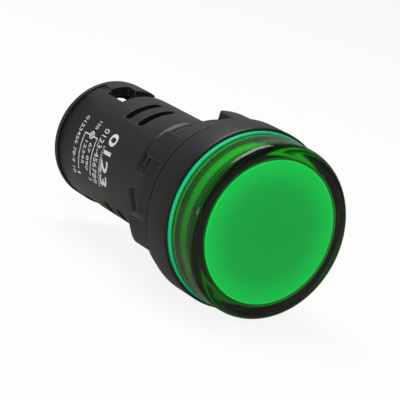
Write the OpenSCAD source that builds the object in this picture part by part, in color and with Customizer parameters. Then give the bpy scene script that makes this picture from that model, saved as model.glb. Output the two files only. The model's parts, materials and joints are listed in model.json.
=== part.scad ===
// Panel pilot light for a 22 mm hole. A coloured lens with a diffuser behind it snaps into the
// bezel of a one-piece housing. The housing's barrel goes through the panel and is held by a
// castellated ring nut. Six LEDs and their dropper board sit inside, and two screw terminals
// behind open wire windows close the rear.
// The axis runs along Y: the panel seats at y = 0, the lens faces -Y and +Z is up.
// All sizes are in millimetres.

/* [Lens] */
// Outside diameter of the lens's side wall
lens_d = 29; // [28:0.1:35]
// Height of the lens in front of the bezel
lens_h = 7.2; // [5:0.1:9]
// Thickness of the lens's side wall
lens_wall = 1.4; // [1.1:0.1:1.7]
// Thickness of the lens's front
lens_front = 1; // [0.8:0.1:1.5]
// Radius that rounds the lens's front edge
lens_round = 1.2; // [0.4:0.1:1.3]
// How far the foot ring stands proud of the side wall
lens_foot_step = 0.25; // [0.1:0.05:0.5]
// Height of the foot ring on the bezel
lens_foot_h = 0.7; // [0.4:0.1:1.2]
// How much narrower the plug-in skirt is than the side wall
lens_skirt_step = 0.65; // [0.4:0.05:0.7]

/* [Diffuser] */
// Outside diameter of the diffuser cup
diffuser_d = 24.4; // [20:0.1:25.4]
// Wall thickness of the diffuser cup
diffuser_wall = 0.8; // [0.6:0.1:1.2]
// Radius that rounds the diffuser's front edge
diffuser_round = 0.3; // [0.1:0.1:0.6]
// Thickness of the flange that centres the diffuser
diffuser_flange_t = 0.8; // [0.5:0.1:1.2]

/* [Bezel] */
// How far the bezel stands outside the lens's foot ring
bezel_lip = 0.45; // [0.2:0.05:1]
// Height of the bezel in front of the panel
bezel_h = 6; // [5:0.1:8]
// Thickness of the bezel's floor behind the LED board
bezel_floor = 1.8; // [1.2:0.1:2.2]
// Radius that rounds the bezel's front edge
bezel_round = 0.5; // [0.2:0.1:0.8]
// Radius that rounds the bezel's back edge
bezel_back_round = 0.2; // [0.1:0.1:0.4]
// Height of the snap bead on the lens, and the depth of its groove
snap_h = 0.2; // [0.1:0.05:0.3]
// Width of the snap bead
snap_w = 0.8; // [0.5:0.1:1.2]

/* [Barrel] */
// Diameter over the thread's crests
thread_d = 21.7; // [21.3:0.1:26.1]
// Length of the threaded part behind the panel's front
thread_len = 14.2; // [10:0.1:16]
// How much smaller in radius the plain part is than the thread
barrel_step = 0.2; // [0.1:0.05:0.5]
// Length of the barrel behind the panel's front
barrel_len = 40.4; // [38.5:0.1:50]
// Wall thickness at the terminals
barrel_wall = 1.4; // [1.2:0.1:1.6]
// Width of the inside ledge that stops the terminal block
ledge_w = 0.45; // [0.3:0.05:0.6]
// Chamfer round the barrel's rear end
barrel_chamfer = 0.25; // [0.1:0.05:0.4]

/* [Vents] */
// Width of a vent slot
vent_w = 1.95; // [1.4:0.05:2.4]
// Distance between the two rows of slots
vent_pitch = 4.45; // [3.2:0.05:5]
// Distance from the barrel's rear end to the nearer row
vent_back = 15.35; // [14.6:0.05:17]
// Half the angle that one slot spans
vent_half = 19.5; // [10:0.5:24]
// Angle from the top or the bottom to the middle of a slot
vent_offset = 26.5; // [24:0.5:40]

/* [Wire windows] */
// Width of a window at its front edge
window_w = 11; // [9.5:0.1:11.4]
// Distance from the barrel's rear end to the window's front edge
window_front = 9.4; // [8.6:0.1:10.4]
// Distance from the barrel's rear end to where the window starts to narrow
window_back = 4; // [3.6:0.1:4.6]
// Width of the throat at its front, behind the window
throat_w = 9.2; // [6:0.1:9.4]
// Width of the throat at the barrel's rear end, where it holds the tongue in
throat_end_w = 8.2; // [6:0.1:9.4]
// Distance from the barrel's rear end to the throat
throat_back = 3.2; // [2:0.1:3.4]

/* [Ring nut] */
// Overall height of the nut
nut_h = 5.95; // [5:0.05:8]
// Thickness of the nut's flange
nut_flange_t = 1.15; // [0.8:0.05:2]
// Wall thickness of the collar round the thread
nut_collar_wall = 2.15; // [1.6:0.05:2.6]
// How far the flange and the lugs stand outside the collar
lug_h = 1.5; // [1:0.1:2.6]
// Chamfer on the nut's edges
nut_edge = 0.15; // [0.05:0.05:0.3]
// Number of lugs
lug_count = 6; // [4:1:8]
// Width of a lug
lug_w = 5.3; // [3:0.1:6.4]
// Radius of a lug's two rear corners
lug_round = 0.9; // [0.3:0.1:1.5]
// Angle of the first lug, from +X towards +Z
lug_phase = 27; // [0:1:60]

/* [Gasket] */
// Thickness of the gasket
gasket_t = 1.2; // [0.3:0.05:2]
// How far the gasket's edge lies inside the bezel's
gasket_inset = 1.4; // [0.5:0.1:1.6]

/* [Rear cover] */
// How far the rear cover's rim stands proud of the barrel
cover_step = 0.22; // [0:0.02:0.3]
// Thickness of the rear cover
cover_t = 1.1; // [0.8:0.1:2]
// Radius that rounds the cover's rear edge
cover_round = 0.4; // [0.1:0.1:0.6]
// Thickness of the tongues that close the throats
tongue_t = 1.35; // [0.8:0.05:1.5]
// Width of the nib that parts the two wires of a terminal, at its root
nib_w = 2; // [1:0.1:2.4]
// Width of the nib at its tip
nib_tip_w = 2.8; // [1:0.1:2.8]
// How far the nib runs forward of its tongue
nib_len = 3; // [1:0.1:3.2]
// Diameter of the screwdriver holes
driver_hole_d = 6; // [5.6:0.1:6.4]
// Length of the snap legs inside the barrel
leg_len = 1.5; // [1:0.1:2]
// Thickness of a snap leg
leg_t = 0.75; // [0.5:0.05:0.8]
// Half the angle that a snap leg spans
leg_half = 34; // [20:1:36]

/* [Terminals] */
// Distance from the axis to each terminal screw
terminal_z = 5; // [4.9:0.05:5.1]
// Width of a terminal pad and its clamp
pad_w = 6.4; // [5.6:0.1:6.6]
// Thickness of the terminal strip
strip_t = 0.8; // [0.6:0.1:1]
// Width of the leg that is soldered to the board
strip_leg_w = 3; // [2:0.1:4]
// Length of the soldered part of a leg
solder_len = 3.5; // [2:0.1:4]
// Thickness of a clamp plate
clamp_t = 1; // [0.8:0.1:1.4]
// Thread diameter of a terminal screw
screw_d = 3; // [2.5:0.1:3.2]
// Diameter of a screw head
screw_head_d = 5.4; // [5:0.1:5.5]
// Height of a screw head
screw_head_h = 2; // [1.6:0.1:2.4]
// Length of a screw below its head
screw_len = 4.4; // [3:0.1:4.8]
// Width of the slots in a screw head
driver_slot_w = 0.8; // [0.5:0.1:1]

/* [Terminal block] */
// Distance from the barrel's rear end to the block's ledge
block_depth = 13.4; // [12.8:0.1:14]
// Thickness of the block's base
block_base_t = 2.2; // [1.8:0.1:2.6]
// Height of the pad seats on the base
pad_seat_h = 2.1; // [1.6:0.1:2.4]
// Thickness of the walls beside the terminals
side_wall_t = 0.9; // [0.6:0.1:1]
// Length of the jaws that hold the board
jaw_len = 2.2; // [1.5:0.1:3]
// Width of a jaw
jaw_w = 3; // [2:0.1:3.4]
// Thickness of a jaw
jaw_t = 1.4; // [0.8:0.1:2]
// Distance between the two jaws of a side
jaw_gap = 7; // [5:0.1:8]

/* [Boards] */
// Thickness of the LED board
led_board_t = 1; // [0.8:0.1:1.6]
// Thickness of the dropper board
board_t = 1.6; // [1:0.1:1.6]
// Number of LEDs
led_count = 6; // [3:1:8]
// Side of a square LED
led_w = 5; // [3:0.1:5.4]
// Height of an LED
led_h = 1.6; // [0.8:0.1:2]
// Radius of the circle that the LEDs sit on
led_circle_r = 8.2; // [7.5:0.1:9]
// Side of a square link pin
pin_w = 0.64; // [0.5:0.02:0.8]
// Distance between the two link pins
pin_pitch = 2.54; // [2:0.02:2.54]
// Length of a link pin behind the LED board
pin_tail = 5.5; // [4:0.1:6]
// Length of a link pin in front of the LED board
pin_tip = 0.9; // [0.4:0.1:1.2]

/* [Components] */
// Film capacitor: width
film_cap_w = 9; // [6:0.1:10]
// Film capacitor: length
film_cap_len = 13; // [9:0.1:13.5]
// Film capacitor: height
film_cap_h = 5; // [3:0.1:6]
// Distance from the board's front edge to the film capacitor
film_cap_y = 7.2; // [6:0.1:8]
// Smoothing capacitor: diameter
can_d = 6.3; // [5:0.1:6.5]
// Smoothing capacitor: length
can_len = 11.5; // [8:0.1:14]
// Smoothing capacitor: distance from the axis, along -X
can_x = 3.6; // [3:0.1:3.7]
// Distance from the board's front edge to the smoothing capacitor
can_y = 4.7; // [2:0.1:8]
// Series resistor: diameter
series_d = 3.6; // [2.5:0.1:4]
// Series resistor: length
series_len = 9.5; // [6:0.1:11]
// Bleed resistor: diameter
bleed_d = 2.3; // [1.8:0.1:2.6]
// Bleed resistor: length
bleed_len = 6.2; // [4:0.1:7]
// Distance from the board's front edge to the series resistor
series_y = 5.4; // [5:0.1:7]
// Distance from the axis to the series resistor and the rectifier, along +X
series_x = 4.2; // [3.6:0.1:5]
// Distance from the board's front edge to the bleed resistor
bleed_y = 22.4; // [21.5:0.1:23]
// Diameter of a resistor's lead
lead_d = 0.6; // [0.4:0.1:0.8]
// How far a lead runs out of a resistor before it turns to the board
lead_reach = 1.2; // [0.8:0.1:2]
// Bridge rectifier: width
rectifier_w = 3.9; // [3:0.1:4.5]
// Bridge rectifier: length
rectifier_len = 4.7; // [3:0.1:4.9]
// Bridge rectifier: height
rectifier_h = 2.5; // [1.4:0.1:3]
// Distance from the board's front edge to the bridge rectifier
rectifier_y = 18; // [17:0.1:19]

/* [Clearances] */
// Running clearance of the nut over the thread and the rear cover
nut_clear = 0.08; // [0.05:0.01:0.1]
// Fit clearance of what plugs into the bezel and the barrel
plug_clear = 0.1; // [0.05:0.01:0.15]
// Radial clearance of the lens's skirt in the bezel
skirt_clear = 0.05; // [0.02:0.01:0.1]
// Clearance round the rear cover's tongues
tongue_clear = 0.1; // [0.05:0.01:0.2]
// Radial clearance of a screw in its terminal and of the clamp on its screw
screw_clear = 0.05; // [0.02:0.01:0.1]

/* [Hidden] */
$fn = 96;

// Segments in a quarter round
ROUND_STEPS = 6;
// How far a cutter runs past what it cuts
CUT = 1;
// Gap between two pieces that only just clear each other
SEAM = 0.05;
// Part of a screw head's height that its rounded crown takes
CROWN = 1 / 3;
// Parts of a screw head's radius and height that its slots take
SLOT_REACH = 0.75;
SLOT_DEPTH = 0.5;
// Part of a resistor's length that each of its caps and their slopes takes
CAP = 0.2;
// Part of a resistor's radius that its waist has
WAIST = 0.9;

BLACK = [0.07, 0.07, 0.075];
RUBBER = [0.03, 0.03, 0.03];
GREEN = [0, 0.6, 0.25, 0.6];
GLOW = [0, 0.75, 0.33];
BRASS = [0.8, 0.65, 0.3];
STEEL = [0.75, 0.76, 0.78];
BOARD = [0.1, 0.35, 0.15];
LED = [0.9, 0.9, 0.7];
RED = [0.6, 0.15, 0.1];
BLUE = [0.1, 0.15, 0.35];
BEIGE = [0.75, 0.65, 0.5];

// Radii of the head
lens_r = lens_d / 2;
lens_in_r = lens_r - lens_wall;
skirt_r = lens_r - lens_skirt_step;
foot_r = lens_r + lens_foot_step;
bezel_r = foot_r + bezel_lip;
cavity_r = skirt_r + skirt_clear;
diffuser_r = diffuser_d / 2;

// Radii of the barrel, the cover and the nut
thread_r = thread_d / 2;
barrel_r = thread_r - barrel_step;
bore_r = barrel_r - barrel_wall;
front_bore_r = bore_r - ledge_w;
cover_r = barrel_r + cover_step;
nut_bore_r = max(thread_r, cover_r) + nut_clear;
collar_r = nut_bore_r + nut_collar_wall;
nut_r = collar_r + lug_h;

// Stations along the axis, front to rear
lens_y = -bezel_h - lens_h;
lens_back_y = lens_y + lens_front;
cavity_y = -bezel_floor;
led_face_y = cavity_y - led_board_t;
skirt_y = led_face_y - SEAM;
snap_y = (-bezel_h + skirt_y) / 2;
nut_end_y = gasket_t + nut_h;
board_front_y = cavity_y + plug_clear;
ledge_y = barrel_len - block_depth;
board_back_y = ledge_y - plug_clear;
base_y = ledge_y + block_base_t;
strip_y = base_y + pad_seat_h;
clamp_y = strip_y + strip_t;
head_y = clamp_y + clamp_t;
tip_y = head_y - screw_len;

// Half the thickness of the dropper board: its components and the terminals' legs lie on it
face_z = board_t / 2;
// Half the thickness of the barrier, which parts the terminals in line with the board
barrier_z = face_z - plug_clear;
screw_r = screw_d / 2;

// Height of a circle of radius r above its middle, at the distance x from it
function chord(r, x) = sqrt(r * r - x * x);
// Points on an arc of radius r about c, from angle a to angle b
function arc(c, r, a, b) = [for (i = [0 : ROUND_STEPS])
    let (t = a + (b - a) * i / ROUND_STEPS) [c[0] + r * cos(t), c[1] + r * sin(t)]];

// A closed outline from the points of its +X edge, which are mirrored for the other edge
function outline(edge) = concat(edge, [for (i = [len(edge) - 1 : -1 : 0]) [-edge[i][0], edge[i][1]]]);

// Revolves [radius, station] points about the light's axis
module turned(points) rotate([-90, 0, 0]) rotate_extrude() polygon(points);
// A round bar along the axis, from station a to station b
module rod(r, a, b) turned([[0, a], [r, a], [r, b], [0, b]]);
// A ring round the axis
module ring(r_out, r_in, a, b) turned([[r_in, a], [r_out, a], [r_out, b], [r_in, b]]);
// A part of a ring, centred on +X and reaching half an angle to each side
module ring_part(r_out, r_in, a, b, half) rotate([0, half, 0]) rotate([-90, 0, 0])
    rotate_extrude(angle = -2 * half) polygon([[r_in, a], [r_out, a], [r_out, b], [r_in, b]]);
// A block between its lowest and its highest corner
module block(low, high) translate(low) cube(high - low);
// Turns children from +X towards +Z
module at_angle(t) rotate([0, -t, 0]) children();
// Moves children from the axis to the upper terminal screw
module at_terminal() translate([0, 0, terminal_z]) children();
// Repeats children, made for the upper terminal, at the lower one too
module both_terminals() for (side = [0, 1]) mirror([0, 0, side]) children();

// ---- Head ----

// A clear cap with a rounded front edge, a foot ring and a skirt with a snap bead
module lens() color(GREEN) turned(concat(
    [[lens_in_r, skirt_y], [skirt_r, skirt_y], [skirt_r, snap_y + snap_w / 2]],
    [[skirt_r + snap_h, snap_y], [skirt_r, snap_y - snap_w / 2], [skirt_r, -bezel_h]],
    [[foot_r, -bezel_h], [foot_r, lens_foot_step - bezel_h - lens_foot_h]],
    [[lens_r, -bezel_h - lens_foot_h]],
    arc([lens_r - lens_round, lens_y + lens_round], lens_round, 0, -90),
    [[0, lens_y], [0, lens_back_y], [lens_in_r, lens_back_y]]));

// A cup behind the lens, with a flange that centres it in the lens's skirt
module diffuser() color(GLOW) {
    front_y = lens_back_y + SEAM;
    inner_r = diffuser_r - diffuser_wall;
    flange_r = lens_in_r - plug_clear;
    flange_y = led_face_y - diffuser_flange_t;
    turned(concat(
        [[inner_r, led_face_y], [flange_r, led_face_y], [flange_r, flange_y], [diffuser_r, flange_y]],
        arc([diffuser_r - diffuser_round, front_y + diffuser_round], diffuser_round, 0, -90),
        [[0, front_y], [0, front_y + diffuser_wall], [inner_r, front_y + diffuser_wall]]));
}

// ---- Housing ----

// Bezel and barrel as one turned form, before its slots and windows are cut
module housing_blank() turned(concat(
    [[cavity_r, -bezel_h]],
    arc([bezel_r - bezel_round, bezel_round - bezel_h], bezel_round, -90, 0),
    arc([bezel_r - bezel_back_round, -bezel_back_round], bezel_back_round, 0, 90),
    [[thread_r, 0], [thread_r, thread_len], [barrel_r, thread_len + barrel_step]],
    [[barrel_r, barrel_len - barrel_chamfer], [barrel_r - barrel_chamfer, barrel_len]],
    [[bore_r, barrel_len], [bore_r, ledge_y], [front_bore_r, ledge_y], [front_bore_r, cavity_y]],
    [[cavity_r, cavity_y], [cavity_r, snap_y + snap_w / 2], [cavity_r + snap_h, snap_y]],
    [[cavity_r, snap_y - snap_w / 2]]));

// A curved slot with round ends through the barrel's wall, centred on +X
module vent_slot(y) {
    low_r = front_bore_r - CUT;
    high_r = barrel_r + CUT;
    half = vent_half - asin(vent_w / 2 / barrel_r);
    ring_part(high_r, low_r, y - vent_w / 2, y + vent_w / 2, half);
    for (side = [-half, half]) at_angle(side) translate([low_r, y, 0]) rotate([0, 90, 0])
        cylinder(d = vent_w, h = high_r - low_r);
}

module vents() for (row = [0, 1], pole = [90, 270], side = [-1, 1])
    at_angle(pole + side * vent_offset) vent_slot(barrel_len - vent_back - row * vent_pitch);

// The upper wire window, its sloping shoulders, and the throat that runs out of the rear end
module window_cut() translate([0, 0, chord(bore_r, window_w / 2) - CUT])
    linear_extrude(barrel_r) polygon(outline([
        [window_w / 2, barrel_len - window_front], [window_w / 2, barrel_len - window_back],
        [throat_w / 2, barrel_len - throat_back], [throat_end_w / 2, barrel_len],
        [throat_end_w / 2, barrel_len + CUT]]));

module housing() color(BLACK) difference() {
    housing_blank();
    vents();
    both_terminals() window_cut();
}

// ---- Gasket and ring nut ----

module gasket() color(RUBBER) ring(bezel_r - gasket_inset, thread_r + plug_clear, 0, gasket_t);

// A lug seen from outside: it starts in the flange, and its two rear corners are round
module lug_outline() {
    low = gasket_t + nut_flange_t / 2;
    translate([-lug_w / 2, low]) square([lug_w, nut_end_y - lug_round - low]);
    translate([lug_round - lug_w / 2, low]) square([lug_w - 2 * lug_round, nut_end_y - low]);
    for (side = [-1, 1])
        translate([side * (lug_w / 2 - lug_round), nut_end_y - lug_round]) circle(lug_round);
}

module lug() intersection() {
    translate([collar_r - nut_collar_wall / 2, 0, 0]) rotate([0, 90, 0])
        linear_extrude(nut_collar_wall + lug_h) lug_outline();
    ring(nut_r, nut_bore_r, gasket_t, nut_end_y);
}

module panel_nut() color(BLACK) {
    flange_y = gasket_t + nut_flange_t;
    turned([[nut_bore_r, gasket_t], [nut_r - nut_edge, gasket_t], [nut_r, gasket_t + nut_edge],
        [nut_r, flange_y - nut_edge], [nut_r - nut_edge, flange_y], [collar_r, flange_y],
        [collar_r, nut_end_y - nut_edge], [collar_r - nut_edge, nut_end_y], [nut_bore_r, nut_end_y]]);
    for (i = [0 : lug_count - 1]) at_angle(lug_phase + i * 360 / lug_count) lug();
}

// ---- Rear cover ----

// What closes the upper throat: a curved tongue, with a nib that parts the two wires
module tongue() {
    front_y = barrel_len - throat_back;
    tip_y = front_y - nib_len;
    intersection() {
        ring(cover_r, barrel_r - tongue_t, tip_y, barrel_len);
        linear_extrude(cover_r) polygon(outline([
            [throat_end_w / 2 - tongue_clear, barrel_len], [throat_w / 2 - tongue_clear, front_y],
            [nib_w / 2, front_y], [nib_tip_w / 2, tip_y]]));
    }
}

module rear_cover() color(BLACK) difference() {
    end_y = barrel_len + cover_t;
    leg_r = bore_r - plug_clear;
    union() {
        turned(concat([[0, barrel_len], [cover_r, barrel_len]],
            arc([cover_r - cover_round, end_y - cover_round], cover_round, 0, 90), [[0, end_y]]));
        both_terminals() tongue();
        for (t = [0, 180]) at_angle(t)
            ring_part(leg_r, leg_r - leg_t, barrel_len - leg_len, barrel_len, leg_half);
    }
    both_terminals() at_terminal() rod(driver_hole_d / 2, barrel_len - CUT, end_y + CUT);
}

// ---- Terminals ----

// The insert that carries both terminals and parts them, and holds the board's rear end
module terminal_block() color(BLACK) {
    block_r = bore_r - plug_clear;
    side_x = window_w / 2;
    wall_x = side_x + side_wall_t;
    seat_x = pad_w / 2 + plug_clear;
    slot_x = strip_leg_w / 2 + plug_clear;
    difference() {
        union() {
            rod(block_r, ledge_y, base_y);
            block([-wall_x, base_y, -barrier_z], [wall_x, barrel_len - SEAM, barrier_z]);
            intersection() {
                rod(block_r, base_y, barrel_len - leg_len);
                union() {
                    for (x = [-wall_x, side_x])
                        block([x, base_y, -block_r], [x + side_wall_t, barrel_len - leg_len, block_r]);
                    block([-seat_x, base_y, -block_r], [seat_x, strip_y, block_r]);
                }
            }
            both_terminals() for (x = [-jaw_gap / 2 - jaw_w, jaw_gap / 2])
                block([x, ledge_y - jaw_len, face_z + plug_clear],
                    [x + jaw_w, ledge_y, face_z + plug_clear + jaw_t]);
        }
        both_terminals() {
            block([-slot_x, ledge_y - CUT, face_z - SEAM],
                [slot_x, strip_y + CUT, face_z + strip_t + plug_clear]);
            at_terminal() rod(screw_r + 2 * plug_clear, tip_y - plug_clear, strip_y + CUT);
        }
    }
}

// A brass strip bent to an angle: a pad under the clamp and a leg that lies on the board
module terminal() color(BRASS) difference() {
    union() {
        block([-pad_w / 2, strip_y, face_z], [pad_w / 2, clamp_y, terminal_z + pad_w / 2]);
        block([-strip_leg_w / 2, board_back_y - solder_len, face_z],
            [strip_leg_w / 2, clamp_y, face_z + strip_t]);
    }
    at_terminal() rod(screw_r + screw_clear, strip_y - CUT, clamp_y + CUT);
}
module upper_terminal() terminal();
module lower_terminal() mirror([0, 0, 1]) terminal();

module clamp_plate() color(STEEL) at_terminal() difference() {
    block([-pad_w / 2, clamp_y, -pad_w / 2], [pad_w / 2, head_y, pad_w / 2]);
    rod(screw_r + screw_clear, clamp_y - CUT, head_y + CUT);
}
module upper_clamp() clamp_plate();
module lower_clamp() mirror([0, 0, 1]) clamp_plate();

// A pan-head screw with crossed slots
module terminal_screw() color(STEEL) at_terminal() {
    head_r = screw_head_d / 2;
    top_y = head_y + screw_head_h;
    crown = screw_head_h * CROWN;
    slot_r = head_r * SLOT_REACH;
    slot_y = top_y - screw_head_h * SLOT_DEPTH;
    difference() {
        union() {
            rod(screw_r, tip_y, head_y);
            turned(concat([[0, head_y], [head_r, head_y]],
                arc([head_r - crown, top_y - crown], crown, 0, 90), [[0, top_y]]));
        }
        for (t = [0, 90]) at_angle(t)
            block([-slot_r, slot_y, -driver_slot_w / 2], [slot_r, top_y + CUT, driver_slot_w / 2]);
    }
}
module upper_screw() terminal_screw();
module lower_screw() mirror([0, 0, 1]) terminal_screw();

// ---- Boards and what they carry ----

// Places children where each link pin crosses the LED board
module at_pins() for (side = [-1, 1])
    translate([side * pin_pitch / 2, 0, face_z + pin_w / 2]) children();

module led_board() color(BOARD) difference() {
    rod(cavity_r - plug_clear, led_face_y, cavity_y);
    hole = pin_w / 2 + SEAM;
    at_pins() block([-hole, led_face_y - CUT, -hole], [hole, cavity_y + CUT, hole]);
}

module leds() color(LED) for (i = [0 : led_count - 1]) at_angle(i * 360 / led_count)
    block([led_circle_r - led_w / 2, led_face_y - led_h, -led_w / 2],
        [led_circle_r + led_w / 2, led_face_y, led_w / 2]);

module link_pins() color(BRASS) at_pins()
    block([-pin_w / 2, led_face_y - pin_tip, -pin_w / 2], [pin_w / 2, cavity_y + pin_tail, pin_w / 2]);

module dropper_board() color(BOARD) {
    half_w = chord(front_bore_r, face_z) - SEAM;
    block([-half_w, board_front_y, -face_z], [half_w, board_back_y, face_z]);
}

module film_capacitor() color(RED)
    translate([-film_cap_w / 2, board_front_y + film_cap_y, face_z])
    cube([film_cap_w, film_cap_len, film_cap_h]);

module smoothing_capacitor() color(BLUE)
    translate([-can_x, board_front_y + can_y, -face_z - SEAM - can_d / 2])
    rod(can_d / 2, 0, can_len);

module bridge_rectifier() color(BLACK)
    translate([series_x - rectifier_w / 2, board_front_y + rectifier_y, -face_z - rectifier_h])
    cube([rectifier_w, rectifier_len, rectifier_h]);

// An axial resistor along Y, whose leads turn down to a board at its foot
module resistor(d, length) {
    r = d / 2;
    waist_r = r * WAIST;
    cap = length * CAP;
    end = length / 2;
    reach = end + lead_reach;
    translate([0, 0, r + SEAM]) {
        turned([[0, -end], [r, -end], [r, cap - end], [waist_r, 2 * cap - end],
            [waist_r, end - 2 * cap], [r, end - cap], [r, end], [0, end]]);
        rod(lead_d / 2, -reach, reach);
    }
    for (y = [-reach, reach]) translate([0, y, 0])
        cylinder(d = lead_d, h = r + SEAM + lead_d / 2);
}

module series_resistor() color(BEIGE)
    translate([series_x, board_front_y + series_y + series_len / 2, -face_z])
    mirror([0, 0, 1]) resistor(series_d, series_len);

module bleed_resistor() color(BEIGE) translate([0, board_front_y + bleed_y, face_z])
    rotate([0, 0, 90]) resistor(bleed_d, bleed_len);

housing();
lens();
diffuser();
gasket();
panel_nut();
rear_cover();
terminal_block();
upper_terminal();
lower_terminal();
upper_clamp();
lower_clamp();
upper_screw();
lower_screw();
led_board();
leds();
link_pins();
dropper_board();
film_capacitor();
smoothing_capacitor();
series_resistor();
bleed_resistor();
bridge_rectifier();
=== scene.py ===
# %% [markdown]
# # Finishing a panel pilot light
# The CAD model already has every part of this lamp at its true size: the one-piece housing,
# the green lens, the ring nut, the terminals and the small boards inside. This lesson gives
# those parts their finishes, cuts the moulded thread that CAD left out, prints the barrel and
# sets up a small studio. Nothing that CAD made is moved or resized.

import json
import math

import bmesh
import bpy
from mathutils import Matrix, Quaternion, Vector

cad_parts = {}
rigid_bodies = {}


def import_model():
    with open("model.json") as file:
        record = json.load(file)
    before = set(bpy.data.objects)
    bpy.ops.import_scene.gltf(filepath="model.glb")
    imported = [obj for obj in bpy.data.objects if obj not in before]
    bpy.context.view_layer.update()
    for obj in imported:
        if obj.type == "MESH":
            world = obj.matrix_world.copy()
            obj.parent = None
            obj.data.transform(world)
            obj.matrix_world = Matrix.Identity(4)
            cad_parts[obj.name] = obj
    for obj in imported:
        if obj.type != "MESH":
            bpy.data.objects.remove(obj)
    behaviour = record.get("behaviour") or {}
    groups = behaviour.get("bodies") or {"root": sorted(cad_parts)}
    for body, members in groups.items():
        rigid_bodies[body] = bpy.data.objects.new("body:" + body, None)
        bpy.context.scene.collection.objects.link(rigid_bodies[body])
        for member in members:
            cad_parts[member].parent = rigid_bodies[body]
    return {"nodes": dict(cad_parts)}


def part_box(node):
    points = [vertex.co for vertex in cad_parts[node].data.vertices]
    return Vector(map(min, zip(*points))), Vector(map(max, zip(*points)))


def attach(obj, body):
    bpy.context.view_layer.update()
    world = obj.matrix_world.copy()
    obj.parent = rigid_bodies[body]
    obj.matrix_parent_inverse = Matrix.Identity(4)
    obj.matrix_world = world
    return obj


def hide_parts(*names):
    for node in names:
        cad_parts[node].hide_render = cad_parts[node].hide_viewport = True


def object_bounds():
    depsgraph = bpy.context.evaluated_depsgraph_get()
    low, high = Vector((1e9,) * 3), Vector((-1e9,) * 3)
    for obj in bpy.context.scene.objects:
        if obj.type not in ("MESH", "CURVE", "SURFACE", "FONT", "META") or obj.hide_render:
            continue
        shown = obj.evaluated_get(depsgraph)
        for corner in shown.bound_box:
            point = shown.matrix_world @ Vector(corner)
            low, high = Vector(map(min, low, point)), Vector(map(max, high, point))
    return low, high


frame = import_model()
cad_low, cad_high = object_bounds()
MM = 0.001
print("CAD box in mm:", [round(v / MM, 2) for v in (*cad_low, *cad_high)])
print("parts:", ", ".join(sorted(frame["nodes"])))

# %% [markdown]
# ## Camera
# The lamp is seen from its front right and a little from above, through a long lens, so that
# its round face stays close to a true ellipse. A camera can be placed with Euler angles, but
# here a viewing direction and a lean are easier to reason about: the lamp lies tilted in the
# picture, and leaning the camera does the same without turning the lamp.

# %% Camera
FOCAL_MM, SENSOR_MM, NEAR_CLIP = 181.04, 36, 0.01
CAMERA_AT = Vector((-0.18364, -0.26123, 0.06281))
camera_data = bpy.data.cameras.new("camera")
camera_data.lens = FOCAL_MM
camera_data.sensor_width = SENSOR_MM
camera_data.clip_start = NEAR_CLIP
camera = bpy.data.objects.new("camera", camera_data)
bpy.context.scene.collection.objects.link(camera)

UP = Vector((-0.1017, 0.2945, 0.9502))
ahead = Vector((0.5521, 0.8113, -0.1923)).normalized()
upright = ahead.to_track_quat("-Z", "Y")
lean = math.atan2(UP.dot(upright @ Vector((-1, 0, 0))), UP.dot(upright @ Vector((0, 1, 0))))
camera.matrix_world = Matrix.LocRotScale(CAMERA_AT, upright @ Quaternion((0, 0, 1), lean), None)
bpy.context.scene.camera = camera
print("camera leans", round(math.degrees(lean), 2), "degrees")

# %% [markdown]
# ## Shader helpers
# A finish is a small network of shader nodes. Wiring it by hand takes many lines, so two
# helpers do it. A `Wire` wraps one socket and adds a Math node whenever Python does sums with
# it. A `Finish` owns one material: its `node` method adds any other node from its type, its
# settings and what goes into its sockets.

# %% Shader helpers
class Wire:
    """One shader value. Sums with it become Math nodes."""

    def __init__(self, finish, socket):
        self.finish, self.socket = finish, socket

    def maths(self, operation, a, b):
        return self.finish.node("ShaderNodeMath", {"operation": operation}, {0: a, 1: b})

    def __add__(self, other):
        return self.maths("ADD", self, other)

    def __sub__(self, other):
        return self.maths("SUBTRACT", self, other)

    def __rsub__(self, other):
        return self.maths("SUBTRACT", other, self)

    def __mul__(self, other):
        return self.maths("MULTIPLY", self, other)

    def __truediv__(self, other):
        return self.maths("DIVIDE", self, other)

    def __gt__(self, other):
        return self.maths("GREATER_THAN", self, other)

    def __lt__(self, other):
        return self.maths("LESS_THAN", self, other)

    def most(self, other):
        return self.maths("MAXIMUM", self, other)

    def least(self, other):
        return self.maths("MINIMUM", self, other)

    __radd__, __rmul__ = __add__, __mul__


class Finish:
    """A node tree under construction: a material's, or the world's."""

    def __init__(self, name, owner=None):
        self.owner = owner or bpy.data.materials.new(name)
        self.owner.use_nodes = True
        self.tree = self.owner.node_tree
        self.skin = self.tree.nodes.get("Principled BSDF")

    def feed(self, node, sockets):
        for key, value in sockets.items():
            socket = node.inputs[key]
            if isinstance(value, Wire):
                self.tree.links.new(value.socket, socket)
            elif socket.type == "RGBA":
                socket.default_value = (*value, 1)
            else:
                socket.default_value = value

    def node(self, kind, settings=None, sockets=None, out=0):
        made = self.tree.nodes.new(kind)
        for key, value in (settings or {}).items():
            if key == "stops":
                for stop, (place, colour) in zip(stops_of(made.color_ramp, len(value)), value):
                    stop.position, stop.color = place, (*colour, 1)
            else:
                setattr(made, key, value)
        self.feed(made, sockets or {})
        return Wire(self, made.outputs[out])

    def skin_out(self):
        """What the main shader gives."""
        return Wire(self, self.skin.outputs[0])

    def mix(self, share, first, second):
        """A mix of two shaders: all first where share is 0, all second where it is 1."""
        return self.node("ShaderNodeMixShader", None, {0: share, 1: first, 2: second})

    def blend(self, share, first, second):
        """A mix of two colours."""
        colours = {6: first, 7: second}
        return self.node("ShaderNodeMix", {"data_type": "RGBA"}, {0: share, **colours}, out=2)

    def surface(self, shader):
        """Ends the network in this shader instead of the main one."""
        self.feed(self.tree.nodes["Material Output"], {"Surface": shader})

    def base(self, **sockets):
        """Sets the main shader's sockets; underscores in a name stand for its spaces."""
        self.feed(self.skin, {key.replace("_", " "): value for key, value in sockets.items()})
        return self


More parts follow.
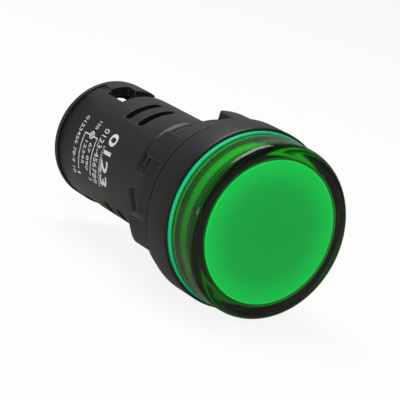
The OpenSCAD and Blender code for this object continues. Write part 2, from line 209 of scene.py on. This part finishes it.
def stops_of(ramp, count):
    """A colour ramp's stops, once it has as many as are asked for."""
    while len(ramp.elements) < count:
        ramp.elements.new(1.0)
    return ramp.elements


# %% [markdown]
# ## Floor and light
# A plain white table and a soft white room show a small black part best. The room could be a
# modelled box of white card, but the world itself does the same with no noise: it glows at
# full white where the camera looks, and at a lower level where it only lights the lamp. The
# floor does likewise, and keeps most of its own shading, so the lamp still has its shadow.

# %% Small helpers
def in_mm(finish):
    """The part's own coordinates in millimetres, the unit that pattern sizes are given in."""
    where = finish.node("ShaderNodeTexCoord", out="Object")
    return finish.node("ShaderNodeMapping", {"vector_type": "POINT"},
                       {"Vector": where, "Scale": (1000, 1000, 1000)})


def ray_is(finish, kind):
    """1 for rays of one kind, such as Camera, and 0 for the others."""
    return finish.node("ShaderNodeLightPath", out=f"Is {kind} Ray")


def seen_directly(finish):
    """1 for rays from the camera and for rays through glass."""
    return ray_is(finish, "Camera").most(ray_is(finish, "Transmission"))


def mesh_object(name, shape):
    """Turns a finished bmesh into an object in the scene."""
    mesh = bpy.data.meshes.new(name)
    shape.to_mesh(mesh)
    shape.free()
    made = bpy.data.objects.new(name, mesh)
    bpy.context.scene.collection.objects.link(made)
    return made


print("helpers ready for patterns in mm, kinds of ray and new meshes")

# %% Floor
FLOOR_GLOW, FLOOR_R = 0.88, 4
MIRROR_DIM, MIRROR_SHARE = 0.22, 0.8
shape = bmesh.new()
bmesh.ops.create_circle(shape, cap_ends=True, segments=64, radius=FLOOR_R)
bmesh.ops.translate(shape, vec=(0, 0, cad_low.z), verts=shape.verts)
floor = mesh_object("floor", shape)
card = Finish("white_card").base(Base_Color=(0.84, 0.79, 0.74), Roughness=0.7)
glow = card.node("ShaderNodeEmission", None, {"Color": (1, 1, 1), "Strength": 1.0})
dim = card.node("ShaderNodeEmission", None, {"Color": (1, 0.93, 0.85), "Strength": MIRROR_DIM})
lit = card.mix(seen_directly(card) * FLOOR_GLOW, card.skin_out(), glow)
card.surface(card.mix(ray_is(card, "Glossy") * MIRROR_SHARE, lit, dim))
floor.data.materials.append(card.owner)
print("floor at z =", round(cad_low.z / MM, 2), "mm")

# %% [markdown]
# ## Room and lamps
# Black plastic shows mostly what it mirrors, so the room's level in reflections decides how
# black it looks. The world therefore has one level for reflections, a little brighter behind
# the lamp than in front of it, and another for soft light. Three square lamps give shape: one
# in front that reflections don't see, one above, and a warm one low on the left. The low one
# stands partly under the table's level, so only a little of its light skims across.

# %% World
ROOM_LEVEL = 0.45
FRONT_LEVEL, BACK_LEVEL = 0.15, 0.3
room = Finish("room", bpy.data.worlds.new("room"))
bpy.context.scene.world = room.owner
direction = room.node("ShaderNodeTexCoord", out="Generated")
towards = room.node("ShaderNodeSeparateXYZ", None, {0: direction}, out="Y")
card_wall = room.node("ShaderNodeMapRange", {"interpolation_type": "SMOOTHSTEP"},
                      {"Value": towards, "From Min": -0.4, "From Max": 0.8,
                       "To Min": FRONT_LEVEL, "To Max": BACK_LEVEL})
glossy, direct = ray_is(room, "Glossy"), seen_directly(room)
level = direct + (1 - direct) * (glossy * card_wall + (1 - glossy) * ROOM_LEVEL)
room.feed(room.tree.nodes["Background"], {"Color": (1, 1, 1), "Strength": level})
bpy.context.scene.view_settings.view_transform = "Standard"
print("room level", ROOM_LEVEL, "and in reflections", FRONT_LEVEL, "to", BACK_LEVEL)


# %% Lamps
def softbox(name, place, size, power, colour):
    """A square lamp that faces the middle of the pilot light."""
    data = bpy.data.lights.new(name, "AREA")
    data.shape, data.size, data.energy, data.color = "SQUARE", size, power, colour
    lamp = bpy.data.objects.new(name, data)
    bpy.context.scene.collection.objects.link(lamp)
    middle = (cad_low + cad_high) / 2
    place = Vector(place)
    lamp.matrix_world = Matrix.LocRotScale(place, (middle - place).to_track_quat("-Z", "Y"), None)
    return lamp


front_box = softbox("front_box", (-0.3, -0.6, 0.3), 0.35, 2.4, (1, 0.99, 0.98))
front_box.visible_glossy = False
softbox("top_box", (-0.05, 0.2, 0.55), 0.4, 2.6, (0.96, 0.96, 1))
softbox("low_box", (-0.5, 0.05, -0.1), 0.3, 0.9, (1, 0.9, 0.78))

# %% [markdown]
# ## Thread
# The barrel has a coarse thread for the ring nut. The mould opens to the sides, so the thread
# stops short of a plain strip along each side and every groove runs out there. A bump texture
# would leave the outline straight, and a full helix would cross the strips. So each half turn
# of groove is a solid: its cross section is spun round the axis while it moves along, and its
# ends are lifted clear of the barrel. One Boolean then cuts all of them from a copy of the
# housing.

# %% Thread sizes in mm and degrees
THREAD_R, PITCH, DEPTH = 10.85, 1.5, 0.78
GROOVE_TOP, GROOVE_ROOT = 0.92, 0.12
STRIP = 7
RUN_OUT = 16
TURN_STEPS = 40
FIRST_Y = 12.25
OVER = 0.3
FIRST_THETA, GROOVES = 163.5, 8
RUN_OUT_RISE = 0.1
SAME_PLACE = 1e-6


def ring_point(r, y, theta):
    """A point at radius r and station y in mm; theta runs from +X towards +Z, in degrees."""
    t = math.radians(theta)
    return Vector((r * math.cos(t), y, r * math.sin(t))) * MM


print("grooves", GROOVE_TOP, "mm wide and", DEPTH, "mm deep, every", PITCH, "mm")


# %% One half turn of groove
def half_groove(shape, y, theta):
    """A half turn of thread groove, which starts at theta and ends short of the far strip."""
    sweep = 180 - 2 * STRIP
    slope = (GROOVE_TOP - GROOVE_ROOT) / 2 / DEPTH
    wide = GROOVE_TOP / 2 + OVER * slope
    outline = [(THREAD_R - DEPTH, -GROOVE_ROOT / 2), (THREAD_R + OVER, -wide),
               (THREAD_R + OVER, wide), (THREAD_R - DEPTH, GROOVE_ROOT / 2)]
    corners = [shape.verts.new(ring_point(r, y + dy, theta)) for r, dy in outline]
    face = shape.faces.new(corners)
    before = set(shape.verts) - set(corners)
    bmesh.ops.spin(shape, geom=[face, *face.edges, *corners], axis=(0, 1, 0), cent=(0, 0, 0),
                   dvec=(0, PITCH * MM * sweep / 360 / TURN_STEPS, 0),
                   angle=math.radians(sweep), steps=TURN_STEPS, use_duplicate=False)
    for v in set(shape.verts) - before:
        passed = (theta - math.degrees(math.atan2(v.co.z, v.co.x))) % 360
        passed = 0 if passed > 359 else passed
        left = min(passed, sweep - passed)
        if left < RUN_OUT:
            lift = 1 + (1 - max(left, 0) / RUN_OUT) * (DEPTH + RUN_OUT_RISE) / THREAD_R
            bmesh.ops.scale(shape, vec=(lift, 1, lift), verts=[v])


shape = bmesh.new()
for turn in range(GROOVES):
    y = FIRST_Y - turn * PITCH
    half_groove(shape, y + PITCH * (FIRST_THETA - (180 - STRIP)) / 360, 180 - STRIP)
    if turn:
        half_groove(shape, y + PITCH * (FIRST_THETA + STRIP) / 360, -STRIP)
bmesh.ops.recalc_face_normals(shape, faces=shape.faces)
print("thread cutter:", len(shape.faces), "faces,",
      sum(not e.is_manifold for e in shape.edges), "open edges")
cutter = mesh_object("thread_cutter", shape)


# %% Cut the housing
def merged_copy(node, name):
    """A copy of a CAD part with its loose triangles joined, ready to be cut."""
    shape = bmesh.new()
    shape.from_mesh(frame["nodes"][node].data)
    bmesh.ops.remove_doubles(shape, verts=shape.verts, dist=SAME_PLACE)
    return mesh_object(name, shape)


def apply_modifiers(made):
    """Keeps what the modifiers show as the object's own mesh."""
    ready = made.evaluated_get(bpy.context.evaluated_depsgraph_get())
    made.data = bpy.data.meshes.new_from_object(ready)
    made.modifiers.clear()


SHARP_EDGE = math.radians(28)
housing = merged_copy("housing", "threaded_housing")
cut = housing.modifiers.new("thread", "BOOLEAN")
cut.operation, cut.solver, cut.object = "DIFFERENCE", "EXACT", cutter
apply_modifiers(housing)
bpy.data.objects.remove(cutter)
housing.data.shade_smooth()
housing.data.set_sharp_from_angle(angle=SHARP_EDGE)
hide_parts("housing")
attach(housing, "light_body")
print("housing with its thread:", len(housing.data.polygons), "faces")

# %% [markdown]
# ## Print on the barrel
# A real lamp has white ink on its side: rows of figures and the sign for a lamp in a small
# circuit. This one carries plain numbers only. The ink could be a texture, but letters made as
# a mesh stay sharp at any distance. Each row is a text object
# turned into a flat mesh, cut into narrow slices and bent round the barrel, a hair above it.

# %% Bend flat artwork round the barrel
PRINT_R, INK = 10.65, 0.012
WRAP_STEP = 0.35


def wrapped(name, shape, theta, y):
    """Bends flat artwork round the barrel: its x follows the barrel's curve, its y runs forward."""
    low, high = min(v.co.x for v in shape.verts), max(v.co.x for v in shape.verts)
    for i in range(1, int((high - low) / WRAP_STEP) + 1):
        bmesh.ops.bisect_plane(shape, geom=[*shape.verts, *shape.edges, *shape.faces], dist=1e-6,
                               plane_co=(low + i * WRAP_STEP, 0, 0), plane_no=(1, 0, 0))
    for v in shape.verts:
        v.co = ring_point(PRINT_R + INK + v.co.z, y - v.co.y,
                          theta + math.degrees(v.co.x / PRINT_R))
    bmesh.ops.recalc_face_normals(shape, faces=shape.faces)
    made = mesh_object(name, shape)
    made.data.materials.append(ink)
    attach(made, "light_body")
    return made


print("print lies at radius", PRINT_R, "mm")


# %% A row of numbers
def digits(name, text, theta, theta_end, y, height, bold=0.0):
    """A row of numbers that fills the arc from theta to theta_end; y is its middle."""
    curve = bpy.data.curves.new(name, "FONT")
    curve.body, curve.extrude, curve.offset = text, INK, bold
    curve.resolution_u = 3
    flat = bpy.data.objects.new(name + "_flat", curve)
    bpy.context.scene.collection.objects.link(flat)
    mesh = bpy.data.meshes.new_from_object(
        flat.evaluated_get(bpy.context.evaluated_depsgraph_get()))
    bpy.data.objects.remove(flat)
    shape = bmesh.new()
    shape.from_mesh(mesh)
    bmesh.ops.remove_doubles(shape, verts=shape.verts, dist=1e-5)
    xs, ys = [v.co.x for v in shape.verts], [v.co.y for v in shape.verts]
    width = math.radians(theta_end - theta) * PRINT_R
    bmesh.ops.translate(shape, vec=(-min(xs), -(min(ys) + max(ys)) / 2, 0), verts=shape.verts)
    bmesh.ops.scale(shape, vec=(width / (max(xs) - min(xs)), height / (max(ys) - min(ys)), 1),
                    verts=shape.verts)
    return wrapped(name, shape, theta, y)


print("digits() fills an arc with a row of numbers")


# %% Ink
def white_ink():
    """Printing ink, a little thinner in places."""
    finish = Finish("white_ink")
    thin = finish.node("ShaderNodeTexNoise", {"noise_dimensions": "3D"},
                       {"Vector": in_mm(finish), "Scale": 3.0, "Detail": 3.0, "Roughness": 0.6})
    return finish.base(Base_Color=finish.blend(thin, (0.5, 0.5, 0.52), (0.74, 0.74, 0.76)),
                       Roughness=thin * 0.2 + 0.45).owner


ink = white_ink()
print("ink:", ink.name)

# %% Rows of numbers
digits("print_top_row", "0123456 78-9 10", 151, 208, 34.2, 0.95)
digits("print_upper_row", "12345", 172, 194, 31.0, 0.85)
digits("print_lower_row", "67 890", 172, 198, 29.4, 0.85)
digits("print_label", "120", 150, 158.5, 29.9, 0.85)
digits("print_long_row", "0123-456789", 153, 206, 26.6, 1.45)
digits("print_small_row", "0123456789012345", 168, 207, 25.0, 0.5)
digits("print_large_number", "0123", 153, 204, 23.4, 2.4, 0.02)
digits("print_one", "1", 204, 206, 32.4, 0.95)
digits("print_two", "2", 203.6, 206.6, 28.3, 0.95)
rows = [made.name for made in bpy.data.objects if made.name.startswith("print_")]
print(len(rows), "rows:", ", ".join(rows))

# %% [markdown]
# ### The lamp sign
# The general sign for a lamp is a circle with a cross in it. Two lines lead from it to the two
# long bars beside the rows, as in a circuit diagram. The bars are thin boxes, and the circle is
# the band between two rings of points, bridged and then given the ink's thickness.

# %% Lamp sign
LINE, SIGN_R, CROSS = 0.2, 0.72, 0.6
LEFT_BAR_Y, RIGHT_BAR_Y = -2.25, 2.05
SIGN_THETA, BARS_END_THETA, SIGN_Y = 165, 201, 30.15


def bar(shape, x0, x1, y0, y1):
    """A straight printed line of the flat artwork."""
    made = bmesh.ops.create_cube(shape, size=1)["verts"]
    bmesh.ops.scale(shape, vec=(x1 - x0, y1 - y0, 2 * INK), verts=made)
    bmesh.ops.translate(shape, vec=((x0 + x1) / 2, (y0 + y1) / 2, 0), verts=made)
    return made


shape = bmesh.new()
arm = math.radians(BARS_END_THETA - SIGN_THETA) * PRINT_R
for y in (LEFT_BAR_Y, RIGHT_BAR_Y):
    bar(shape, 0, arm, y - LINE / 2, y + LINE / 2)
bar(shape, 0, LINE, -2.15, -0.6)
bar(shape, 0, LINE, 0.6, 1.95)
for angle in (45, -45):
    made = bar(shape, -CROSS, CROSS, -LINE / 2, LINE / 2)
    slant = Matrix.Rotation(math.radians(angle), 3, "Z")
    bmesh.ops.rotate(shape, verts=made, cent=(0, 0, 0), matrix=slant)
circle = bmesh.ops.create_circle(shape, segments=24, radius=SIGN_R)["verts"]
inner = bmesh.ops.create_circle(shape, segments=24, radius=SIGN_R - LINE)["verts"]
edges = {e for v in circle + inner for e in v.link_edges}
ring = bmesh.ops.bridge_loops(shape, edges=list(edges))["faces"]
grown = bmesh.ops.extrude_face_region(shape, geom=ring)["geom"]
bmesh.ops.translate(shape, vec=(0, 0, -INK), verts=circle + inner)
raised = [part for part in grown if isinstance(part, bmesh.types.BMVert)]
bmesh.ops.translate(shape, vec=(0, 0, INK), verts=raised)
sign = wrapped("print_circuit", shape, SIGN_THETA, SIGN_Y)
print("lamp sign:", len(sign.data.polygons), "faces")

# %% [markdown]
# ## Black plastic
# The housing, nut, cover and terminal block are moulded in black plastic, and the gasket is
# black rubber. Moulded edges are never quite sharp, and they catch the light as a thin pale
# line. Bevelling every edge in the mesh would be slow, so a Bevel node rounds the shading
# instead, and where its normal turns away from the flat one the colour is a little paler: a painted
# highlight along every edge. Fine noise gives the grain, and a broad noise makes gloss and colour
# uneven.

# %% Moulded black
PAINTED_EDGE_HIGHLIGHT = 0.55


def black_plastic(name, colour=(0.007, 0.007, 0.0073), rough=0.38, grain=0.28, edge=0.15):
    finish = Finish(name)
    mm = in_mm(finish)
    fine = finish.node("ShaderNodeTexNoise", {"noise_dimensions": "3D"},
                       {"Vector": mm, "Scale": 1 / grain, "Detail": 2.0, "Roughness": 0.5})
    cloud = finish.node("ShaderNodeTexNoise", {"noise_dimensions": "3D"},
                        {"Vector": mm, "Scale": 0.22, "Detail": 3.0, "Roughness": 0.6})
    rounded = finish.node("ShaderNodeBevel", {"samples": 8}, {"Radius": edge * MM})
    bumped = finish.node("ShaderNodeBump", None,
                         {"Strength": 0.35, "Distance": 0.012 * MM, "Height": fine, "Normal": rounded})
    tint = finish.blend(cloud, [0.8 * c for c in colour], [1.3 * c for c in colour])
    plain_normal = finish.node("ShaderNodeNewGeometry", out="Normal")
    turn = finish.node("ShaderNodeVectorMath", {"operation": "DOT_PRODUCT"},
                       {0: rounded, 1: plain_normal}, out="Value")
    # painted highlight: a paler colour along every edge, where the rounded normal turns from the flat
    # one
    painted_edge_highlight = ((1 - turn) * 12).least(1) * PAINTED_EDGE_HIGHLIGHT
    tint = finish.blend(painted_edge_highlight, tint, (0.16, 0.155, 0.15))
    finish.base(Base_Color=tint, Roughness=cloud * 0.12 + (rough - 0.06), Normal=bumped, IOR=1.46)
    return finish.owner


# %% Dress the black parts
def dress(node, material):
    """Gives a CAD part its finish."""
    mesh = frame["nodes"][node].data
    mesh.materials.clear()
    mesh.materials.append(material)


moulded = black_plastic("moulded_black")
housing.data.materials.clear()
housing.data.materials.append(moulded)
for node in ("housing", "panel_nut", "rear_cover", "terminal_block"):
    dress(node, moulded)
dress("gasket", black_plastic("rubber", (0.002, 0.002, 0.002), 0.75, 0.4, 0.1))
print("black finishes:", moulded.name, "and rubber")

# %% [markdown]
# ## Lens
# The lens is a clear green cap. Its foot, where it meets the bezel, is matt and glows lighter.
# The green could be a coloured surface, but then a thick place would look like a thin one. So
# the surface is colourless glass and the body soaks up light on the way through, which makes
# the edge dark and the face bright. The shape is one closed outline spun round the axis. Its
# wall is thicker in front of the bezel, because that gives the broad dark ring round the face.

# %% Clear green plastic
BEZEL_Y, FOOT_Y = -6.0, -6.72
FOOT_SHARE = 0.75


def green_glass():
    """Clear green plastic, with a matt foot ring that catches the light."""
    finish = Finish("clear_green")
    mm = in_mm(finish)
    y = finish.node("ShaderNodeSeparateXYZ", None, {0: mm}, out="Y")
    rounded = finish.node("ShaderNodeBevel", {"samples": 6}, {"Radius": 0.2 * MM})
    finish.base(Base_Color=(1, 1, 1), Roughness=0.03, IOR=1.49, Transmission_Weight=1.0)
    foot = finish.node("ShaderNodeBsdfPrincipled", None,
                       {"Base Color": (0.01, 0.72, 0.3), "Roughness": 0.35, "Normal": rounded})
    ring = (y > FOOT_Y) * (y < BEZEL_Y) * FOOT_SHARE
    clear = finish.node("ShaderNodeBsdfTransparent", None, {"Color": (1, 1, 1)})
    body = finish.mix(ring, finish.skin_out(), foot)
    finish.surface(finish.mix(ray_is(finish, "Shadow"), body, clear))
    soak = finish.node("ShaderNodeVolumeAbsorption", None,
                       {"Color": (0.0, 0.96, 0.71), "Density": 3400.0})
    finish.feed(finish.tree.nodes["Material Output"], {"Volume": soak})
    return finish.owner


clear_green = green_glass()
print("lens finish:", clear_green.name)

# %% Lens shape
LENS_FRONT, LENS_R, EDGE_ROUND = -13.2, 14.5, 1.2
LENS_WALL_R, SKIRT_IN_R, LENS_BACK = 12.3, 13.1, -2.85


SKIRT_R, FOOT_R, FOOT_GAP = 13.85, 14.75, 0.02
BEAD_R, BEAD_Y, BEAD_HALF = 14.05, -4.43, 0.4
STEP_BACK, STEP_FRONT, FACE_WALL = -6.6, -7.2, 1


def spun(shape, outline, steps=96):
    """Spins an outline of (radius, station) points in mm round the light's axis."""
    made = [shape.verts.new((r * MM, y * MM, 0)) for r, y in outline]
    edges = [shape.edges.new(pair) for pair in zip(made, made[1:])]
    bmesh.ops.spin(shape, geom=made + edges, axis=(0, 1, 0), cent=(0, 0, 0), angle=2 * math.pi,
                   steps=steps, use_merge=True, use_duplicate=False)
    bmesh.ops.remove_doubles(shape, verts=shape.verts, dist=SAME_PLACE)
    bmesh.ops.recalc_face_normals(shape, faces=shape.faces)


corner = [(LENS_R - EDGE_ROUND + EDGE_ROUND * math.sin(math.radians(t)),
           LENS_FRONT + EDGE_ROUND - EDGE_ROUND * math.cos(math.radians(t))) for t in range(0, 91, 9)]
shape = bmesh.new()
spun(shape, [(0, LENS_FRONT), (6, LENS_FRONT), (12, LENS_FRONT), *corner,
             (LENS_R, FOOT_Y + FOOT_GAP), (FOOT_R, FOOT_Y + FOOT_GAP), (FOOT_R, BEZEL_Y),
             (SKIRT_R, BEZEL_Y), (SKIRT_R, BEAD_Y - BEAD_HALF), (BEAD_R, BEAD_Y),
             (SKIRT_R, BEAD_Y + BEAD_HALF), (SKIRT_R, LENS_BACK), (SKIRT_IN_R, LENS_BACK),
             (SKIRT_IN_R, STEP_BACK), (LENS_WALL_R, STEP_FRONT),
             (LENS_WALL_R, LENS_FRONT + FACE_WALL), (0, LENS_FRONT + FACE_WALL)])
print("lens outline closed:", all(e.is_manifold for e in shape.edges))
lens = mesh_object("clear_lens", shape)
lens.data.shade_smooth()
lens.data.set_sharp_from_angle(angle=math.radians(30))
lens.data.materials.append(clear_green)
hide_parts("lens")
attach(lens, "light_body")
dress("lens", clear_green)
print("lens:", len(lens.data.polygons), "faces, box", [round(v / MM, 2) for v in lens.dimensions])


# %% [markdown]
# ## Diffuser
# Behind the lens sits a milky cup that spreads the light. Seen through the green it is the
# bright disc. Only its colour is made here, and much of it is painted light: one ramp runs
# out from the middle of the face, lighter towards the rim, with a thin painted highlight ring and
# a painted shade ring at the very edge. Another runs back along the wall, which is painted
# shade with one painted bright band, as the real wall is hardly seen.

# %% Diffuser finish
FACE_R, WALL_LENGTH, FACE_THICK = 12.2, 8, 0.3


def diffuser_painted_light():
    """A milky front with painted light growing towards its rim, a painted highlight ring and a painted
    shade ring at its edge, and a wall in painted shade with one painted bright band.
    """
    finish = Finish("diffuser")
    mm = in_mm(finish)
    x, y, z = (finish.node("ShaderNodeSeparateXYZ", None, {0: mm}, out=axis) for axis in "XYZ")
    r = finish.node("ShaderNodeMath", {"operation": "SQRT"}, {0: x * x + z * z})
    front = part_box("diffuser")[0].y / MM
    # painted light on the face: lighter towards the rim, a painted highlight ring at 0.968 and a
    # painted shade ring from 0.98
    face = finish.node("ShaderNodeValToRGB", {"stops": [
        (0.0, (0.03, 0.42, 0.4)), (0.62, (0.03, 0.47, 0.46)), (0.95, (0.04, 0.68, 0.62)),
        (0.968, (0.1, 0.9, 0.75)), (0.98, (0.01, 0.03, 0.02))]}, {0: r / FACE_R})
    # painted shade along the wall, with one painted bright band
    wall = finish.node("ShaderNodeValToRGB", {"stops": [
        (0.0, (0.005, 0.02, 0.01)), (0.3, (0.005, 0.04, 0.02)), (0.38, (0.02, 0.5, 0.4)),
        (0.52, (0.02, 0.5, 0.4)), (0.6, (0.02, 0.12, 0.06)), (1.0, (0.04, 0.1, 0.07))]},
        {0: (y - front) / WALL_LENGTH})
    colour = finish.blend(y < front + FACE_THICK, wall, face)
    finish.base(Base_Color=colour, Roughness=0.5)
    return finish.owner


dress("diffuser", diffuser_painted_light())

# %% [markdown]
# ## Metals, boards and components
# Brass strips, zinc-plated clamps and screws show in the windows and the screwdriver holes,
# and the boards and their components are inside. None of them is one even colour: plating is
# cloudy, lacquer is mottled and a coated resistor is grainy. One helper makes all of these
# from two close colours in soft patches, and a second layer paints the marks that such parts
# have, such as a resistor's rings, the stripe on a capacitor or the yellow window of an LED.

# %% Grained finish
EDGE_ROUNDING = 0.1


def grained(name, colour, other, size, rough, bump, bands=None, **fixed):
    """Two close colours in soft patches of a size in mm, uneven gloss and a little relief.
    bands may lay more colours over them: it gets the finish, its coordinates and the colour."""
    finish = Finish(name)
    mm = in_mm(finish)
    patches = finish.node("ShaderNodeTexNoise", {"noise_dimensions": "3D"},
                          {"Vector": mm, "Scale": 1 / size, "Detail": 4.0, "Roughness": 0.6})
    rounded = finish.node("ShaderNodeBevel", {"samples": 6}, {"Radius": EDGE_ROUNDING * MM})
    relief = finish.node("ShaderNodeBump", None,
                         {"Strength": 0.5, "Distance": bump * MM, "Height": patches,
                          "Normal": rounded})
    tint = finish.blend(patches, colour, other)
    if bands:
        tint = bands(finish, mm, tint)
    finish.base(Base_Color=tint, Roughness=patches * 0.2 + (rough - 0.1), Normal=relief, **fixed)
    return finish.owner


print("grained() makes a finish from two close colours")


# %% Painted marks
LED_RING_R, LED_WINDOW_R, LED_COUNT = 8.2, 1.75, 6
STRIPE_HALF, STRIPE_DEPTH = 1.1, 0.5


def along(finish, mm, axis):
    """The place along one axis, in mm."""
    return finish.node("ShaderNodeSeparateXYZ", None, {0: mm}, out=axis)


def rings(node, axis, places, colours, width):
    """Painted rings round a resistor, at places in mm from its middle."""
    low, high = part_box(node)
    centre = (low["XYZ".index(axis)] + high["XYZ".index(axis)]) / 2 / MM

    def bands(finish, mm, tint):
        place = along(finish, mm, axis) - centre
        for where, colour in zip(places, colours):
            near = (place > where - width / 2) * (place < where + width / 2)
            tint = finish.blend(near, tint, colour)
        return tint
    return bands


def phosphor(finish, mm, tint):
    """A yellow window in the middle of each LED, which stand on a circle sixty degrees apart."""
    x, z = along(finish, mm, "X"), along(finish, mm, "Z")
    r = finish.node("ShaderNodeMath", {"operation": "SQRT"}, {0: x * x + z * z})
    angle = finish.node("ShaderNodeMath", {"operation": "ARCTAN2"}, {0: z, 1: x})
    share = 2 * math.pi / LED_COUNT
    local = finish.node("ShaderNodeMath", {"operation": "FLOORED_MODULO"},
                        {0: angle + share / 2, 1: share}) - share / 2
    across, outward = r * local, r - LED_RING_R
    inside = (across * across + outward * outward) < LED_WINDOW_R ** 2
    return finish.blend(inside, tint, (0.85, 0.62, 0.08))


def stripe(finish, mm, tint):
    """The pale minus stripe down one side of the can's sleeve."""
    low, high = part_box("smoothing_capacitor")
    side = along(finish, mm, "Z") - (low.z + high.z) / 2 / MM
    outer = along(finish, mm, "X") < (low.x / MM + STRIPE_DEPTH)
    return finish.blend(outer * (side > -STRIPE_HALF) * (side < STRIPE_HALF), tint, (0.5, 0.52, 0.55))


print("marks ready: rings, LED windows and a stripe")

# %% Dress the inner parts
brass = grained("brass", (0.78, 0.58, 0.27), (0.66, 0.46, 0.2), 0.8, 0.32, 0.004, Metallic=1.0)
zinc = grained("zinc", (0.74, 0.75, 0.78), (0.62, 0.63, 0.67), 0.5, 0.34, 0.004, Metallic=1.0)
for node in ("upper_terminal", "lower_terminal", "link_pins"):
    dress(node, brass)
for node in ("upper_clamp", "lower_clamp", "upper_screw", "lower_screw"):
    dress(node, zinc)
dress("led_board", grained("white_mask", (0.72, 0.74, 0.72), (0.66, 0.68, 0.66), 1.5, 0.35, 0.004))
dress("leds", grained("led_package", (0.8, 0.8, 0.77), (0.7, 0.7, 0.68), 0.6, 0.4, 0.004, phosphor))
dress("dropper_board", grained("green_mask", (0.02, 0.17, 0.05), (0.03, 0.24, 0.07), 1.1, 0.3, 0.006))
dress("film_capacitor", grained("red_box", (0.45, 0.04, 0.025), (0.34, 0.03, 0.02), 0.9, 0.4, 0.01))
dress("smoothing_capacitor",
      grained("sleeve", (0.02, 0.03, 0.12), (0.03, 0.045, 0.16), 1.2, 0.3, 0.006, stripe))
dress("series_resistor", grained("grey_coat", (0.3, 0.31, 0.33), (0.4, 0.41, 0.42), 0.4, 0.6, 0.02,
                                 rings("series_resistor", "Y", (-2.6, -1.2, 0.2, 2.6),
                                       [(0.5, 0.2, 0.02), (0.01, 0.01, 0.01), (0.2, 0.06, 0.02),
                                        (0.6, 0.4, 0.08)], 0.7)))
dress("bleed_resistor", grained("blue_coat", (0.05, 0.24, 0.42), (0.07, 0.3, 0.5), 0.4, 0.4, 0.01,
                                rings("bleed_resistor", "X", (-1.7, -0.85, 0.0, 0.85, 1.7),
                                      [(0.4, 0.02, 0.02), (0.4, 0.02, 0.02), (0.01, 0.01, 0.01),
                                       (0.5, 0.35, 0.03), (0.2, 0.06, 0.02)], 0.4)))
dress("bridge_rectifier", grained("epoxy", (0.012, 0.012, 0.012), (0.02, 0.02, 0.02), 0.3, 0.6, 0.02))
print("finishes made:", len(bpy.data.materials))
